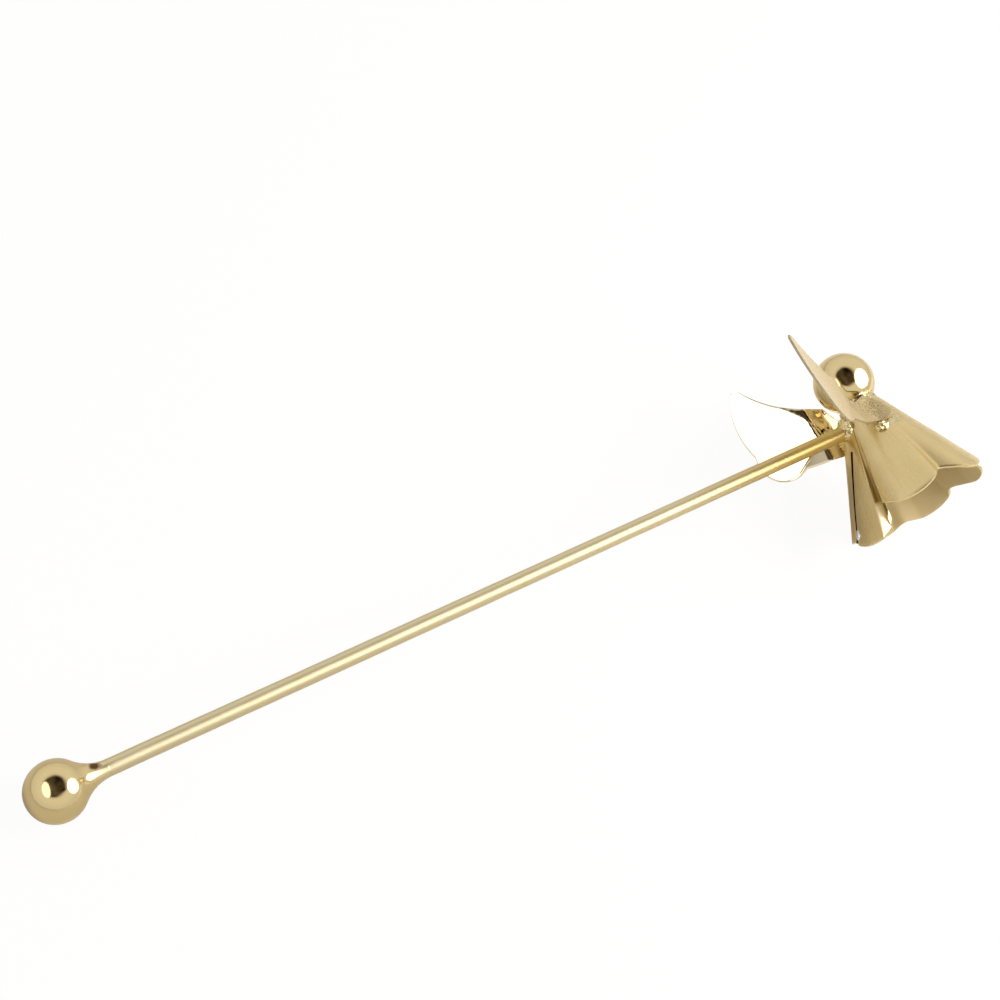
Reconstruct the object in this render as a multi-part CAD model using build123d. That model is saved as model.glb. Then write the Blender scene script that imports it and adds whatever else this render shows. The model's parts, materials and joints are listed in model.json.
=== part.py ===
from build123d import *
import math
import os

# A candle snuffer in the form of an angel: a fluted sheet-brass skirt is the bell that goes over the
# flame, with a ball head soldered on its neck, two sheet wings soldered on its shoulders and a long
# rod handle, with a ball on its end, soldered to its back. Lengths are in millimetres, angles in degrees.
#
# The pieces are made standing, with the bell's axis on Z and its mouth down: X is the angel's front,
# Y its left, and an azimuth counts from the back towards the right. They are then laid on the left
# side, as the snuffer lies on a table, on the end ball, the left wing and the hem.

# Bell
skirt_height = 30.0         # neck rim above the plane of the hem's crests
mouth_diameter = 37.4       # across the crests at that plane
neck_diameter = 9.8
sheet_thickness = 0.7
flute_depth = 2.2           # dip of a groove inside the cone, at the hem
scallop_rise = 3.0          # full notch of the hem above the crests on each side of it
# The grooves in turn, from the train round the right: each one's notch as a share of scallop_rise, and
# how far it lies off even spacing, in degrees. The flutes were bent by hand.
notch_rise_shares = (1.0, 1.25, 1.0, 0.75, 0.3, 1.0)
groove_turns = (0, 0, 0, -1.5, -5.5, 0)
train_drop = 5.2            # hem of the overlong panel right of the seam, below the crests
train_mid_share = 0.83      # its drop halfway to the seam
train_fold_azimuth = 20.0   # where that panel folds in towards the first groove
train_step = 2.0            # degrees over which its edge climbs to the notch
train_corner_share = 0.72   # drop of the corner where that edge begins, as a share of train_drop
seam_drop = 1.6             # the hem on both sides of the seam, below the crests
lap_corner_share = 0.6      # drop of the corner left of the seam, as a share of seam_drop
steep_flank_share = 0.27    # a groove's flank towards the back, as a share of half a flute
long_flank_share = 0.53     # its flank towards the front
back_lobe_width = 68.0      # degrees of the lobe with the seam; the other lobes share the rest evenly
back_lobe_turn = -6.0       # the middle of that lobe lies that much past the handle, to the left
seam_gap = 1.0
seam_top_drop = 11.0        # top of the open seam, below the neck rim
seam_top_azimuth = 7.0
seam_foot_azimuth = -13.0

# Head
head_diameter = 15.4
neck_solder_drop = 1.3      # solder ring on the skirt, below the neck rim
neck_solder_rise = 1.3      # solder ring on the ball, above the neck rim
solder_hollow = 0.2         # sag of a solder fillet's face

# Handle
handle_diameter = 3.8
handle_reach = 214.6        # bell's axis to the end ball's centre
handle_drop = 5.3           # where the handle's line crosses the bell's axis, below the neck rim
handle_droop = 1.2          # fall of the handle towards the end ball
end_ball_diameter = 13.4
collar_length = 3.2         # tapered collar on the end ball
collar_diameter = 9.6       # where the collar leaves the ball
collar_lip = 0.3
socket_depth = 8.0
socket_clearance = 0.05
rod_solder_length = 2.4
rod_solder_diameter = 7.2

# Wings
wing_thickness = 0.6
wing_azimuth = 45.5
wing_head_gap = 0.9         # between the inner edge and the head
wing_reach = 30.0           # outermost feather, from the bell's axis
wing_tip_rise = 21.2        # above the neck rim
wing_shoulder_rise = 4.8
wing_waist_rise = 0.8       # where the inner edge turns in below the head
wing_foot_drop = 7.6        # below the neck rim
wing_bow = 0.9              # how far the blade is dished, hollow to the back
right_wing_lean = 14.0      # the right wing is set that much lower than the left
tab_radius = 4.2
tab_azimuth = 57.0
tab_drop = 4.6              # its middle, below the neck rim
wing_solder_radius = 1.9
wing_solder_azimuth = 69.0
wing_solder_drop = 10.0
# Points of the blade's outline: shares of its span outwards and of its height upwards.
blade_outline_shares = {
    "foot": (0.05, 0.0),
    "third_feather": (0.29, -0.005),
    "second_step": (0.51, 0.035),
    "second_feather": (0.87, 0.075),
    "first_step": (0.965, 0.37),
    "first_feather": (0.995, 0.68),
    "tip_outer": (0.86, 0.975),
    "tip": (0.80, 1.0),
    "tip_inner": (0.74, 0.985),
    "upper_edge": (0.42, 0.66),
}

# Fits
seat_gap = 0.04             # what lies on the skirt stands that far off its cone
overrun = 2.0               # cutters run that far past what they cut

neck_radius = neck_diameter / 2
flare = (mouth_diameter - neck_diameter) / 2 / skirt_height
wall_run = sheet_thickness * math.sqrt(1 + flare**2)
flute_count = len(notch_rise_shares)
half_flute = (360 - back_lobe_width) / (flute_count - 1) / 2
first_groove = back_lobe_turn + back_lobe_width / 2
seam_top_height = skirt_height - seam_top_drop
handle_height = skirt_height - handle_drop
wing_tip_height = skirt_height + wing_tip_rise
wing_shoulder_height = skirt_height + wing_shoulder_rise
wing_waist_height = skirt_height + wing_waist_rise
wing_foot_height = skirt_height - wing_foot_drop
tab_height = skirt_height - tab_drop
wing_solder_height = skirt_height - wing_solder_drop

# The ball rests on the inner edge of the neck rim.
head_radius = head_diameter / 2
seat_radius = neck_radius - wall_run
head_height = skirt_height + math.sqrt(head_radius**2 - seat_radius**2)
wing_root_reach = head_radius + wing_head_gap


def outward(azimuth):
    """Level unit vector at an azimuth."""
    angle = math.radians(azimuth)
    return Vector(-math.cos(angle), -math.sin(angle), 0)


def cone_radius(height):
    return neck_radius + (skirt_height - height) * flare


def on_skirt(azimuth, height, inset):
    return outward(azimuth) * (cone_radius(height) - inset) + Vector(0, 0, height)


def envelope(stand_off):
    """The plain cone that the skirt's crests lie on, moved out by stand_off."""
    low = -train_drop - overrun
    run = stand_off * math.sqrt(1 + flare**2)
    cone = Cone(cone_radius(low) + run, neck_radius + run, skirt_height - low)
    return Pos(0, 0, (skirt_height + low) / 2) * cone


def hem_spans():
    """Spans of the hem, in order of azimuth: stations of azimuth, height and dip, two or three a span."""
    steep = steep_flank_share * half_flute
    long = long_flank_share * half_flute
    half_gap = math.degrees(seam_gap / 2 / cone_radius(-seam_drop))

    def groove(index):
        return first_groove + 2 * half_flute * index + groove_turns[index]

    def notch(index):
        return scallop_rise * notch_rise_shares[index]

    def valley(index):
        return (groove(index), notch(index), flute_depth)

    def scallop(azimuth, crest, index):
        """Station of a lobe, between its crest and the groove of that index."""
        return (azimuth, notch(index) * ((azimuth - crest) / (groove(index) - crest)) ** 2, 0)

    def ridges(index):
        """Azimuths where the flanks of a groove begin and end."""
        on_right = groove(index) < 180
        before = steep if on_right else long
        after = long if on_right else steep
        return groove(index) - before, groove(index) + after

    train_start = seam_foot_azimuth + half_gap
    seam_corner = (train_start, -seam_drop, 0)
    train_middle = ((train_start + train_fold_azimuth) / 2, -train_drop * train_mid_share, 0)
    train_fold = (train_fold_azimuth, -train_drop, 0)
    train_corner = (groove(0) - train_step, -train_drop * train_corner_share, flute_depth)
    spans = [(seam_corner, train_middle, train_fold), (train_fold, train_corner), (train_corner, valley(0))]
    for lobe in range(1, flute_count):
        crest = (groove(lobe - 1) + groove(lobe)) / 2
        first = scallop(ridges(lobe - 1)[1], crest, lobe - 1)
        last = scallop(ridges(lobe)[0], crest, lobe)
        spans += [(valley(lobe - 1), first), (first, (crest, 0, 0), last), (last, valley(lobe))]
    first = (ridges(flute_count - 1)[1], -seam_drop * lap_corner_share, 0)
    last = (360 + seam_foot_azimuth - half_gap, -seam_drop, 0)
    middle = ((first[0] + last[0]) / 2, (first[1] + last[1]) / 2, 0)
    spans += [(valley(flute_count - 1), first), (first, middle, last)]
    spans.append((last, (360 + train_start, -seam_drop, 0)))
    return spans


def skirt_bell():
    """Rolled sheet: straight rulings run from the round neck to the fluted, scalloped hem."""

    def span_edges(span, inset):
        points = [on_skirt(azimuth, height, dip + inset) for azimuth, height, dip in span]
        hem = Edge.make_line(*points) if len(points) == 2 else Edge.make_three_point_arc(*points)
        azimuths = (span[0][0], (span[0][0] + span[-1][0]) / 2, span[-1][0])
        neck = [on_skirt(azimuth, skirt_height, inset) for azimuth in azimuths]
        return hem, Edge.make_three_point_arc(*neck)

    faces = []
    for span in hem_spans():
        outer_hem, outer_neck = span_edges(span, 0)
        inner_hem, inner_neck = span_edges(span, wall_run)
        faces.append(Face.make_surface_from_curves(outer_neck, outer_hem))
        faces.append(Face.make_surface_from_curves(inner_neck, inner_hem))
        faces.append(Face.make_surface_from_curves(outer_hem, inner_hem))
        faces.append(Face.make_surface_from_curves(outer_neck, inner_neck))
    sheet = Solid(Shell(faces))
    return sheet - seam_cutter()


def seam_cutter():
    """The open seam: a thin slot from under the handle down through the hem."""
    top = on_skirt(seam_top_azimuth, seam_top_height, 0)
    foot = on_skirt(seam_foot_azimuth, -seam_drop, 0)
    down = (foot - top).normalized()
    length = (foot - top).length + overrun
    across = down.cross(outward((seam_top_azimuth + seam_foot_azimuth) / 2))
    slot = Plane(origin=top, x_dir=down, z_dir=across)
    return slot * Pos(length / 2, 0, 0) * Box(length, 2 * (wall_run + overrun), seam_gap)


def head_width(height):
    """Radius of the ball's level section."""
    return math.sqrt(head_radius**2 - (head_height - height) ** 2)


def head_ball():
    return Pos(0, 0, head_height) * Sphere(head_radius)


def neck_solder():
    """Solder ring in the corner between the ball and the skirt, hollow-faced."""
    low = skirt_height - neck_solder_drop
    high = skirt_height + neck_solder_rise
    middle = skirt_height + neck_solder_rise / 2

    foot = (cone_radius(low) + seat_gap, low)
    corner = (neck_radius + seat_gap, skirt_height)
    seat = (head_width(skirt_height), skirt_height)
    top = (head_width(high), high)
    chord = (Vector(*foot) + Vector(*top)) / 2
    face_middle = (chord.X - solder_hollow, chord.Y)
    with BuildSketch(Plane.XZ) as section:
        with BuildLine():
            Line(foot, corner)
            Line(corner, seat)
            ThreePointArc(seat, (head_width(middle), middle), top)
            ThreePointArc(top, face_middle, foot)
        make_face()
    return revolve(section.sketch, Axis.Z)


# The handle's line, from the bell's axis to the end ball.
handle_line = Plane(
    origin=(0, 0, handle_height),
    x_dir=(0, 1, 0),
    z_dir=(-math.cos(math.radians(handle_droop)), 0, -math.sin(math.radians(handle_droop))),
)
handle_radius = handle_diameter / 2
end_ball_radius = end_ball_diameter / 2
collar_start = handle_reach - end_ball_radius - collar_length


def handle_rod():
    """Round rod, its front end coped to the skirt and its other end in the ball's socket."""
    length = collar_start + socket_depth
    rod = handle_line * Pos(0, 0, length / 2) * Cylinder(handle_radius, length)
    return rod - envelope(seat_gap)


def rod_solder():
    """Solder fillet round the rod where it meets the skirt."""
    back = cone_radius(handle_height)
    end = back + rod_solder_length
    base = rod_solder_diameter / 2
    lip = handle_radius + collar_lip / 2
    chord = (Vector(base, back) + Vector(lip, end)) / 2
    hollow = (chord.X - solder_hollow, chord.Y - solder_hollow)
    with BuildSketch(Plane.XZ) as section:
        with BuildLine():
            Line((handle_radius, 0), (base, 0))
            Line((base, 0), (base, back))
            ThreePointArc((base, back), hollow, (lip, end))
            Line((lip, end), (handle_radius, end))
            Line((handle_radius, end), (handle_radius, 0))
        make_face()
    return handle_line * revolve(section.sketch, Axis.Z) - envelope(seat_gap)


def handle_ball():
    """End ball with a tapered collar, bored for the rod."""
    base = collar_diameter / 2
    lip = handle_radius + collar_lip
    ball_start = handle_reach - math.sqrt(end_ball_radius**2 - base**2)
    chord = (Vector(lip, collar_start) + Vector(base, ball_start)) / 2
    hollow = (chord.X - solder_hollow, chord.Y + solder_hollow)
    with BuildSketch(Plane.XZ) as section:
        with BuildLine():
            Line((0, collar_start), (lip, collar_start))
            ThreePointArc((lip, collar_start), hollow, (base, ball_start))
            ThreePointArc(
                (base, ball_start),
                (end_ball_radius, handle_reach),
                (0, handle_reach + end_ball_radius),
            )
            Line((0, handle_reach + end_ball_radius), (0, collar_start))
        make_face()
    bore_radius = handle_radius + socket_clearance
    bore = Pos(0, 0, collar_start + (socket_depth - overrun) / 2) * Cylinder(
        bore_radius, socket_depth + overrun
    )
    return handle_line * (revolve(section.sketch, Axis.Z) - bore)


def wing_blade(lean):
    """Right wing's blade: three feathers cut from sheet that is dished about an upright axis."""
    span = wing_reach - wing_root_reach
    height = wing_tip_height - wing_foot_height
    at = {
        name: (wing_root_reach + across_share * span, wing_foot_height + up_share * height)
        for name, (across_share, up_share) in blade_outline_shares.items()
    }
    shoulder = (wing_root_reach, wing_shoulder_height)
    waist = (head_width(wing_waist_height) + wing_head_gap, wing_waist_height)
    inner_high = (cone_radius(tab_height) - overrun, tab_height + tab_radius / 2)
    inner_low = (cone_radius(wing_foot_height) - overrun, wing_foot_height)
    with BuildSketch() as outline:
        with BuildLine():
            Line(inner_low, at["foot"])
            ThreePointArc(at["foot"], at["third_feather"], at["second_step"])
            ThreePointArc(at["second_step"], at["second_feather"], at["first_step"])
            ThreePointArc(at["first_step"], at["first_feather"], at["tip_outer"])
            ThreePointArc(at["tip_outer"], at["tip"], at["tip_inner"])
            ThreePointArc(at["tip_inner"], at["upper_edge"], shoulder)
            Line(shoulder, waist)
            Line(waist, inner_high)
            Line(inner_high, inner_low)
        make_face()
    pivot = Pos(cone_radius(tab_height), tab_height, 0)
    face = pivot * Rot(0, 0, -lean) * pivot.inverse() * outline.sketch
    prism = extrude(face, wing_bow + wing_thickness + overrun, both=True)

    bow_radius = (span**2 / 4 + wing_bow**2) / (2 * wing_bow)
    tall = 2 * (wing_tip_height + overrun)
    outer = Cylinder(bow_radius + wing_thickness / 2, tall)
    inner = Cylinder(bow_radius - wing_thickness / 2, tall + overrun)
    middle = wing_root_reach + span / 2
    dish = Pos(middle, 0, bow_radius - wing_bow) * Rot(90, 0, 0) * (outer - inner)
    wing_plane = Plane(origin=(0, 0, 0), x_dir=outward(wing_azimuth), z_dir=outward(wing_azimuth - 90))
    return wing_plane * (prism & dish)


def wing_right_form(lean):
    """Blade and the rounded tab that lies on the skirt, cut from one sheet."""
    foot = on_skirt(tab_azimuth, tab_height, 0)
    normal = (outward(tab_azimuth) + Vector(0, 0, flare)).normalized()
    tab_depth = tab_radius + overrun
    punch = Plane(origin=foot, z_dir=normal) * Cylinder(tab_radius, tab_depth)
    tab = (envelope(seat_gap + wing_thickness) - envelope(seat_gap)) & punch
    blade = wing_blade(lean) - envelope(seat_gap)
    return blade + tab


def wing_solder_right_form(wing):
    """Bead of solder at the foot of a wing's tab."""
    middle = on_skirt(wing_solder_azimuth, wing_solder_height, 0)
    bead = Pos(middle) * Sphere(wing_solder_radius)
    return bead - envelope(seat_gap) - wing


def largest(shape):
    """The main solid of a cut that may leave crumbs."""
    return max(shape.solids(), key=lambda solid: solid.volume)


def standing_pieces():
    right = largest(wing_right_form(right_wing_lean))
    left_unmirrored = largest(wing_right_form(0))
    left = mirror(left_unmirrored, Plane.XZ)
    left_solder = largest(wing_solder_right_form(left_unmirrored))
    return {
        "skirt_bell": largest(skirt_bell()),
        "head_ball": largest(head_ball()),
        "neck_solder": largest(neck_solder() - right - left),
        "wing_right": right,
        "wing_left": left,
        "wing_solder_right": largest(wing_solder_right_form(right)),
        "wing_solder_left": mirror(left_solder, Plane.XZ),
        "handle_rod": largest(handle_rod()),
        "rod_solder": largest(rod_solder() - right - left),
        "handle_ball": largest(handle_ball()),
    }


def resting_plane(pieces):
    """Plane of the table under the snuffer on its left side: it touches the ball, a wing and the hem."""
    ball_centre = handle_line.origin + handle_line.z_dir * handle_reach
    samples = 24

    def edge_points(solid):
        shares = [step / samples for step in range(samples + 1)]
        return [edge.position_at(share) for edge in solid.edges() for share in shares]

    wing_points = edge_points(pieces["wing_left"])
    hem_points = edge_points(pieces["skirt_bell"])
    up = Vector(0, -1, 0)
    for _ in range(samples):
        wing = min(wing_points, key=lambda point: point.dot(up))
        hem = min(hem_points, key=lambda point: point.dot(up))
        line = (wing - hem).normalized()
        arm = ball_centre - hem
        arm = arm - line * arm.dot(line)
        rise = end_ball_radius / arm.length
        side = arm.normalized().cross(line)
        side = side if side.Y < 0 else -side
        up = arm.normalized() * rise + side * math.sqrt(1 - rise**2)
    forward = -handle_line.z_dir
    return Plane(origin=hem, x_dir=forward - up * forward.dot(up), z_dir=up)


def lay_down(pieces):
    """Pieces in the table's frame, with the origin under the middle of the whole."""
    table = resting_plane(pieces)
    laid = {node: table.to_local_coords(piece) for node, piece in pieces.items()}
    boxes = [piece.bounding_box() for piece in laid.values()]
    middle_x = (min(box.min.X for box in boxes) + max(box.max.X for box in boxes)) / 2
    middle_y = (min(box.min.Y for box in boxes) + max(box.max.Y for box in boxes)) / 2
    floor = min(box.min.Z for box in boxes)
    shift = Pos(-middle_x, -middle_y, -floor)
    return {node: shift * piece for node, piece in laid.items()}


os.makedirs("parts", exist_ok=True)
for node, piece in lay_down(standing_pieces()).items():
    export_step(piece, f"parts/{node}.step")
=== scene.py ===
import json
import math

import bmesh
import bpy
from mathutils import Matrix, Quaternion, Vector, noise


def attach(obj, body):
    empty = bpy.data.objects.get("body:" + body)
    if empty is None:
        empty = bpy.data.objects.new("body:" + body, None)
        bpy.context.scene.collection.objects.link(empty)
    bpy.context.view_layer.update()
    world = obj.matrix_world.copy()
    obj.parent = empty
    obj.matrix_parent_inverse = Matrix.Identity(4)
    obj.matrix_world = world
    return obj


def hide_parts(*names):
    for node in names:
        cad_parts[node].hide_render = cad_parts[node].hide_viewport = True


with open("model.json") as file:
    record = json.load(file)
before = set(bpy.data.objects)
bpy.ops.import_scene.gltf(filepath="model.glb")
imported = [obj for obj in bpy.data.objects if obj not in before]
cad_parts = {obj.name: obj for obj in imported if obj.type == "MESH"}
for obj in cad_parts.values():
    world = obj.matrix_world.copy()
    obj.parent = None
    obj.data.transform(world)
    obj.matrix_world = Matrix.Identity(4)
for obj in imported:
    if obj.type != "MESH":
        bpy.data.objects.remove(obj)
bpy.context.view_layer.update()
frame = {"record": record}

# Lengths are in millimetres and angles in degrees, in the angel's own frame: X is its front, Y its left,
# Z up its axis from the plane of the hem's crests. An azimuth counts from the back towards the right.
MM = 0.001
# Points that are closer than this are one.
MERGE = 0.001

# Bell
SKIRT_HEIGHT = 30.0
MOUTH_DIAMETER = 37.4
NECK_DIAMETER = 9.8
SHEET = 0.7
FLUTE_DEPTH = 2.2
SCALLOP_RISE = 3.0
NOTCH_RISE_SHARES = (0.92, 1.25, 2.2, 0.75, 0.3, 1.0)
GROOVE_DEPTH_SHARES = (0.3, 1.0, 1.0, 1.0, 1.0, 0.6)
GROOVE_TURNS = (0, 0, 0, -1.5, -5.5, 0)
TRAIN_DROP = 4.9
TRAIN_MID_SHARE = 0.83
TRAIN_FOLD_AZIMUTH = 21.5
TRAIN_STEP = 4.2
TRAIN_CORNER_SHARE = 0.667
TRAIN_TUCK = 3.2
TRAIN_FADE = 2.6
LAP_FLARE = 0.9
SEAM_DROP = 1.6
LAP_CORNER_RISE = 0.2
LAP_DROP = 0.6
STEEP_FLANK_SHARE = 0.27
LONG_FLANK_SHARE = 0.53
BACK_LOBE_WIDTH = 68.0
BACK_LOBE_TURN = -6.0
SEAM_GAP = 1.0
SOFT_FROM = 45.0
GROOVE_FADE = 1.8
SEAM_TOP_HEIGHT = SKIRT_HEIGHT - 11.0
SEAM_TOP_AZIMUTH = 7.0
SEAM_FOOT_AZIMUTH = -13.0

# Head and handle
HEAD_DIAMETER = 15.4
HANDLE_DIAMETER = 3.8
HANDLE_REACH = 214.6
HANDLE_HEIGHT = SKIRT_HEIGHT - 5.3
END_BALL_DIAMETER = 13.4
COLLAR_LENGTH = 3.2
COLLAR_HOLLOW = 9.0
RUN_OUT = 6.6
FILLET_HOLLOW = 0.2

# Wings
WING_SHEET = 0.6
WING_AZIMUTH = 45.5
WING_HEAD_GAP = 0.9
WING_REACH = 30.0
NEAR_REACH = 29.3
WING_TIP_HEIGHT = SKIRT_HEIGHT + 21.15
WING_FOOT_HEIGHT = SKIRT_HEIGHT - 7.6
WING_BOW = 0.15
RIGHT_WING_LEAN = 14.0
TAB_RADIUS = 4.2
TAB_END = 3.6
TAB_DEPTH = 3.0
TAB_AZIMUTH = 57.0
TAB_HEIGHT = SKIRT_HEIGHT - 4.6
FOLD_REACH = 12.5
FOLD_SLOPE = 0.5
FAR_FOLD_SLOPE = 0.9
FOLD_RUN = 3.0
TAB_RUN = 7.5
FACET_SLOPE = 0.28
# Creases of the facets beside the fold: reach, height, direction, and 1 where the left side is bent.
FACET_CREASES = ((12.6, SKIRT_HEIGHT + 3.8, 58.5, 1), (12.6, SKIRT_HEIGHT - 2.0, -27.7, -1))
WING_STAND_OFF = 0.35
NEAR_WAIST = (11.6, SKIRT_HEIGHT - 2.1)
NEAR_SHOULDER = (12.0, SKIRT_HEIGHT + 6.0)
FAR_WAIST = (7.2, SKIRT_HEIGHT + 0.6)
FAR_SHOULDER = (8.6, SKIRT_HEIGHT + 4.8)
BEAD_AZIMUTH = 69.0
BEAD_HEIGHT = SKIRT_HEIGHT - 10.0
BEAD_RADIUS = 1.9
FLUX_RADIUS = 5.0
SKIRT_FLUX_AZIMUTH = 80.0
SKIRT_FLUX_HEIGHT = SKIRT_HEIGHT - 7.5
TAB_FLUX_TURN = 8.0
LEAN_FROM_SHARE = 0.25
BLADE_OUTLINE_SHARES = {
    "third_feather": (0.29, -0.005),
    "second_step": (0.51, 0.035),
    "second_feather": (0.87, 0.075),
    "first_step": (0.965, 0.37),
    "first_feather": (0.995, 0.68),
    "tip_outer": (0.86, 0.975),
    "tip": (0.80, 1.0),
    "tip_inner": (0.74, 0.985),
    "upper_edge": (0.42, 0.66),
}

NECK_RADIUS = NECK_DIAMETER / 2
ROUND_STEP = math.radians(1) * MOUTH_DIAMETER / 2
HEAD_RADIUS = HEAD_DIAMETER / 2
HANDLE_RADIUS = HANDLE_DIAMETER / 2
END_BALL_RADIUS = END_BALL_DIAMETER / 2
FLARE = (MOUTH_DIAMETER - NECK_DIAMETER) / 2 / SKIRT_HEIGHT
WALL_RUN = SHEET * math.sqrt(1 + FLARE**2)
FLUTES = len(NOTCH_RISE_SHARES)
HALF_FLUTE = (360 - BACK_LOBE_WIDTH) / (FLUTES - 1) / 2
FIRST_GROOVE = BACK_LOBE_TURN + BACK_LOBE_WIDTH / 2
HEAD_HEIGHT = SKIRT_HEIGHT + math.sqrt(HEAD_RADIUS**2 - (NECK_RADIUS - WALL_RUN) ** 2)
COLLAR_START = HANDLE_REACH - END_BALL_RADIUS - COLLAR_LENGTH

# The angel's frame on the table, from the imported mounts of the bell's mouth and the handle.
mounts = {mount["name"]: mount for mount in frame["record"]["mounts"]}
bell_up = -Vector(mounts["bell_mouth"]["axis"]).normalized()
handle_out = Vector(mounts["handle_grip"]["axis"]).normalized()
front = (bell_up * handle_out.dot(bell_up) - handle_out).normalized()
left = bell_up.cross(front)
ANGEL = (
    Matrix.Translation(mounts["bell_mouth"]["pos_m"])
    @ Matrix((front, left, bell_up)).transposed().to_4x4()
    @ Matrix.Scale(MM, 4)
)
# Along the handle: Z runs from the bell's axis to the end ball, X to the angel's left.
droop = math.asin(-handle_out.dot(bell_up))
HANDLE = Matrix.Translation((0, 0, HANDLE_HEIGHT)) @ Matrix(
    (
        (0, math.sin(droop), -math.cos(droop), 0),
        (1, 0, 0, 0),
        (0, -math.cos(droop), -math.sin(droop), 0),
        (0, 0, 0, 1),
    )
)


def outward(azimuth):
    angle = math.radians(azimuth)
    return Vector((-math.cos(angle), -math.sin(angle), 0))


def cone_radius(height):
    return NECK_RADIUS + (SKIRT_HEIGHT - height) * FLARE


def on_skirt(azimuth, height, inset=0.0):
    return outward(azimuth) * (cone_radius(height) - inset) + Vector((0, 0, height))


def head_width(height):
    return math.sqrt(HEAD_RADIUS**2 - (HEAD_HEIGHT - height) ** 2)


# Materials


def srgb(code):
    """Linear colour of an sRGB hex code."""
    parts = [int(code[k : k + 2], 16) / 255 for k in (1, 3, 5)]
    return [p / 12.92 if p <= 0.04045 else ((p + 0.055) / 1.055) ** 2.4 for p in parts] + [1.0]


def per_mm(size):
    """Texture scale, in metres, for a pattern of that size in millimetres."""
    return 1 / (size * MM)


def add(tree, kind, sockets=None, **settings):
    """Adds a node; sockets takes a value, or another node's output to link."""
    made = tree.nodes.new(kind)
    for name, value in settings.items():
        setattr(made, name, value)
    for key, value in (sockets or {}).items():
        if isinstance(value, bpy.types.NodeSocket):
            tree.links.new(value, made.inputs[key])
        else:
            made.inputs[key].default_value = value
    return made


def new_material(name):
    """Metal with its node tree and a place to hang patterns on."""
    material = bpy.data.materials.new(name)
    material.use_nodes = True
    tree = material.node_tree
    tree.nodes["Principled BSDF"].inputs["Metallic"].default_value = 1.0
    return material, tree, add(tree, "ShaderNodeTexCoord").outputs


def cloud(tree, place, size, detail=3.0):
    """Noise with patches of that size in millimetres."""
    pattern = {"Vector": place, "Scale": per_mm(size), "Detail": detail}
    return add(tree, "ShaderNodeTexNoise", pattern).outputs["Fac"]


def lines(tree, chart, width, length):
    """Brushed lines along the second axis of a chart in millimetres."""
    stretched = add(tree, "ShaderNodeMapping", {"Vector": chart, "Scale": (1 / width, 1 / length, 1.0)})
    pattern = {"Vector": stretched.outputs[0], "Scale": 1.0, "Detail": 3.0}
    return add(tree, "ShaderNodeTexNoise", pattern).outputs["Fac"]


def spread(tree, value, low, high, start=0.3, end=0.7):
    """Maps a pattern's range from start to end onto low to high."""
    return add(tree, "ShaderNodeMapRange", {
        "Value": value, "From Min": start, "From Max": end, "To Min": low, "To Max": high,
    }).outputs[0]


def blend(tree, share, low, high):
    """Colour, or mix of colours, from low to high."""
    return add(tree, "ShaderNodeMix", {0: share, 6: low, 7: high}, data_type="RGBA").outputs[2]


def near(tree, place, point, radius):
    """Share that fades raggedly from 1 at a point of the angel's frame to 0 at a radius in millimetres."""
    middle = ANGEL @ Vector(point)
    tooth = 0.3 * radius * MM
    far = add(tree, "ShaderNodeVectorMath", {0: place, 1: middle}, operation="DISTANCE").outputs["Value"]
    ragged = spread(tree, cloud(tree, place, 1.5), -tooth, tooth)
    edge = add(tree, "ShaderNodeMath", {0: far, 1: ragged}, operation="ADD").outputs[0]
    return spread(tree, edge, 1.0, 0.0, 0.5 * radius * MM, radius * MM)


def surface(tree, colour, roughness, height=None, relief=0.0):
    """Links a colour, a roughness and a relief in millimetres to the metal."""
    shader = tree.nodes["Principled BSDF"]
    tree.links.new(colour, shader.inputs["Base Color"])
    tree.links.new(roughness, shader.inputs["Roughness"])
    if height:
        bump = add(tree, "ShaderNodeBump", {"Height": height, "Strength": 1.0, "Distance": relief * MM})
        tree.links.new(bump.outputs["Normal"], shader.inputs["Normal"])


def polished_brass():
    """Turned and buffed brass balls: a clear, slightly wavy mirror with faint wiping marks."""
    material, tree, coords = new_material("polished_brass")
    haze = cloud(tree, coords["Object"], 3.5)
    tone = blend(tree, haze, srgb("#E4CC96"), srgb("#ECD8A6"))
    surface(tree, tone, spread(tree, haze, 0.07, 0.14), cloud(tree, coords["Object"], 0.5), 0.002)
    return material


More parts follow.
